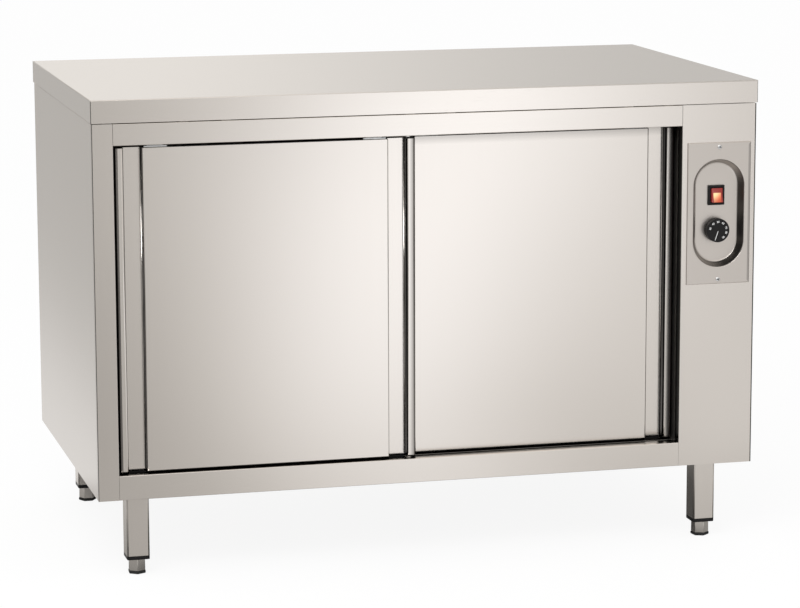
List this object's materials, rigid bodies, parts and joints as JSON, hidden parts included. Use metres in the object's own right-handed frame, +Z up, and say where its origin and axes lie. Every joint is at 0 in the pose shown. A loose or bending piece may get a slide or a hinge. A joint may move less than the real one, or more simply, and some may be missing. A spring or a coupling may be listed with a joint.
{
  "type": "plate warmer cabinet",
  "caption": "Heated stainless-steel cupboard for plates: flat worktop, double-walled body, sliding doors with finger channels, control column and square legs on screw feet.",
  "frame": {"origin": "centre of the footprint at floor level, with the doors closed and the feet screwed in", "axes": "+X to the right seen from the front, +Y to the back, +Z up"},
  "size_m": [1.2, 0.7018, 0.835],
  "materials": {
    "brushed_stainless": "fine brushed grain",
    "plain_stainless": "dull mill finish",
    "zinc_plated_steel": "zinc plated",
    "control_plate_steel": "matt pressed sheet",
    "mineral_wool": "loose fibre blanket",
    "motor_paint": "satin",
    "heater_tube": "heat-darkened",
    "thermostat_metal": "satin",
    "terminal_plastic": "matt",
    "black_plastic": "fine matt",
    "red_lens": "clear red, lit",
    "foot_pad_rubber": "matt"
  },
  "bodies": {
    "cabinet": {"worktop": "brushed_stainless", "left_side_panel": "brushed_stainless", "right_side_panel": "brushed_stainless", "back_panel": "brushed_stainless", "base_panel": "brushed_stainless", "left_front_post": "brushed_stainless", "header_rail": "brushed_stainless", "sill_rail": "brushed_stainless", "control_column_panel": "brushed_stainless", "lower_door_track": "brushed_stainless", "legs": "brushed_stainless", "shelf": "brushed_stainless", "liner_floor": "brushed_stainless", "liner_left_wall": "brushed_stainless", "liner_right_wall": "brushed_stainless", "liner_back": "brushed_stainless", "liner_ceiling": "brushed_stainless", "worktop_stiffeners": "plain_stainless", "shelf_uprights": "plain_stainless", "air_duct_housing": "zinc_plated_steel", "shelf_clips": "zinc_plated_steel", "upper_door_track": "zinc_plated_steel", "leg_bolts": "zinc_plated_steel", "control_plate_screws": "zinc_plated_steel", "insulation_blankets": "mineral_wool", "control_plate": "control_plate_steel", "fan_motor": "motor_paint", "heating_element": "heater_tube", "thermostat": "thermostat_metal", "terminal_block": "terminal_plastic", "cable_gland": "black_plastic", "switch_housing": "black_plastic", "leg_plugs": "black_plastic"},
    "left_door": {"left_door_outer_skin": "brushed_stainless", "left_door_inner_skin": "plain_stainless", "left_door_insulation": "mineral_wool", "left_door_hangers": "zinc_plated_steel", "left_door_guide_shoes": "black_plastic"},
    "right_door": {"right_door_outer_skin": "brushed_stainless", "right_door_inner_skin": "plain_stainless", "right_door_insulation": "mineral_wool", "right_door_hangers": "zinc_plated_steel", "right_door_guide_shoes": "black_plastic"},
    "left_door_roller_at_left": {"left_door_left_roller": "black_plastic"},
    "left_door_roller_at_right": {"left_door_right_roller": "black_plastic"},
    "right_door_roller_at_left": {"right_door_left_roller": "black_plastic"},
    "right_door_roller_at_right": {"right_door_right_roller": "black_plastic"},
    "fan": {"fan_wheel": "zinc_plated_steel"},
    "power_switch_rocker": {"switch_rocker": "red_lens"},
    "thermostat_dial": {"thermostat_knob": "black_plastic", "thermostat_spindle": "thermostat_metal"},
    "front_left_screw_foot": {"front_left_foot": "plain_stainless", "front_left_foot_pad": "foot_pad_rubber"},
    "front_right_screw_foot": {"front_right_foot": "plain_stainless", "front_right_foot_pad": "foot_pad_rubber"},
    "rear_left_screw_foot": {"rear_left_foot": "plain_stainless", "rear_left_foot_pad": "foot_pad_rubber"},
    "rear_right_screw_foot": {"rear_right_foot": "plain_stainless", "rear_right_foot_pad": "foot_pad_rubber"}
  },
  "joints": [
    {"name": "left_door_slide", "type": "slide", "parent": "cabinet", "child": "left_door", "axis": [1, 0, 0], "range_m": [0, 0.4852]},
    {"name": "right_door_slide", "type": "slide", "parent": "cabinet", "child": "right_door", "axis": [-1, 0, 0], "range_m": [0, 0.4852]},
    {"name": "left_door_left_roller_spin", "type": "hinge", "parent": "left_door", "child": "left_door_roller_at_left", "pos_m": [-0.4867, -0.3221, 0.772], "axis": [0, 1, 0], "range_deg": [0, 3100]},
    {"name": "left_door_right_roller_spin", "type": "hinge", "parent": "left_door", "child": "left_door_roller_at_right", "pos_m": [-0.10125, -0.3221, 0.772], "axis": [0, 1, 0], "range_deg": [0, 3100]},
    {"name": "right_door_left_roller_spin", "type": "hinge", "parent": "right_door", "child": "right_door_roller_at_left", "pos_m": [-0.00125, -0.2976, 0.772], "axis": [0, 1, 0], "range_deg": [-3100, 0]},
    {"name": "right_door_right_roller_spin", "type": "hinge", "parent": "right_door", "child": "right_door_roller_at_right", "pos_m": [0.3842, -0.2976, 0.772], "axis": [0, 1, 0], "range_deg": [-3100, 0]},
    {"name": "fan_spin", "type": "hinge", "parent": "cabinet", "child": "fan", "pos_m": [0.4895, 0.03215, 0.4685], "axis": [1, 0, 0], "continuous": true},
    {"name": "power_switch_rock", "type": "hinge", "parent": "cabinet", "child": "power_switch_rocker", "pos_m": [0.529, -0.3301, 0.6285], "axis": [1, 0, 0], "range_deg": [0, 20]},
    {"name": "thermostat_turn", "type": "hinge", "parent": "cabinet", "child": "thermostat_dial", "pos_m": [0.529, -0.3451, 0.566], "axis": [0, 1, 0], "range_deg": [0, 270]},
    {"name": "front_left_foot_screw", "type": "slide", "parent": "cabinet", "child": "front_left_screw_foot", "axis": [0, 0, -1], "range_m": [0, 0.04]},
    {"name": "front_right_foot_screw", "type": "slide", "parent": "cabinet", "child": "front_right_screw_foot", "axis": [0, 0, -1], "range_m": [0, 0.04]},
    {"name": "rear_left_foot_screw", "type": "slide", "parent": "cabinet", "child": "rear_left_screw_foot", "axis": [0, 0, -1], "range_m": [0, 0.04]},
    {"name": "rear_right_foot_screw", "type": "slide", "parent": "cabinet", "child": "rear_right_screw_foot", "axis": [0, 0, -1], "range_m": [0, 0.04]}
  ],
  "couplings": [
    {"joint": "left_door_left_roller_spin", "follows": "left_door_slide", "rad_per_m": 111.11},
    {"joint": "left_door_right_roller_spin", "follows": "left_door_slide", "rad_per_m": 111.11},
    {"joint": "right_door_left_roller_spin", "follows": "right_door_slide", "rad_per_m": -111.11},
    {"joint": "right_door_right_roller_spin", "follows": "right_door_slide", "rad_per_m": -111.11}
  ]
}
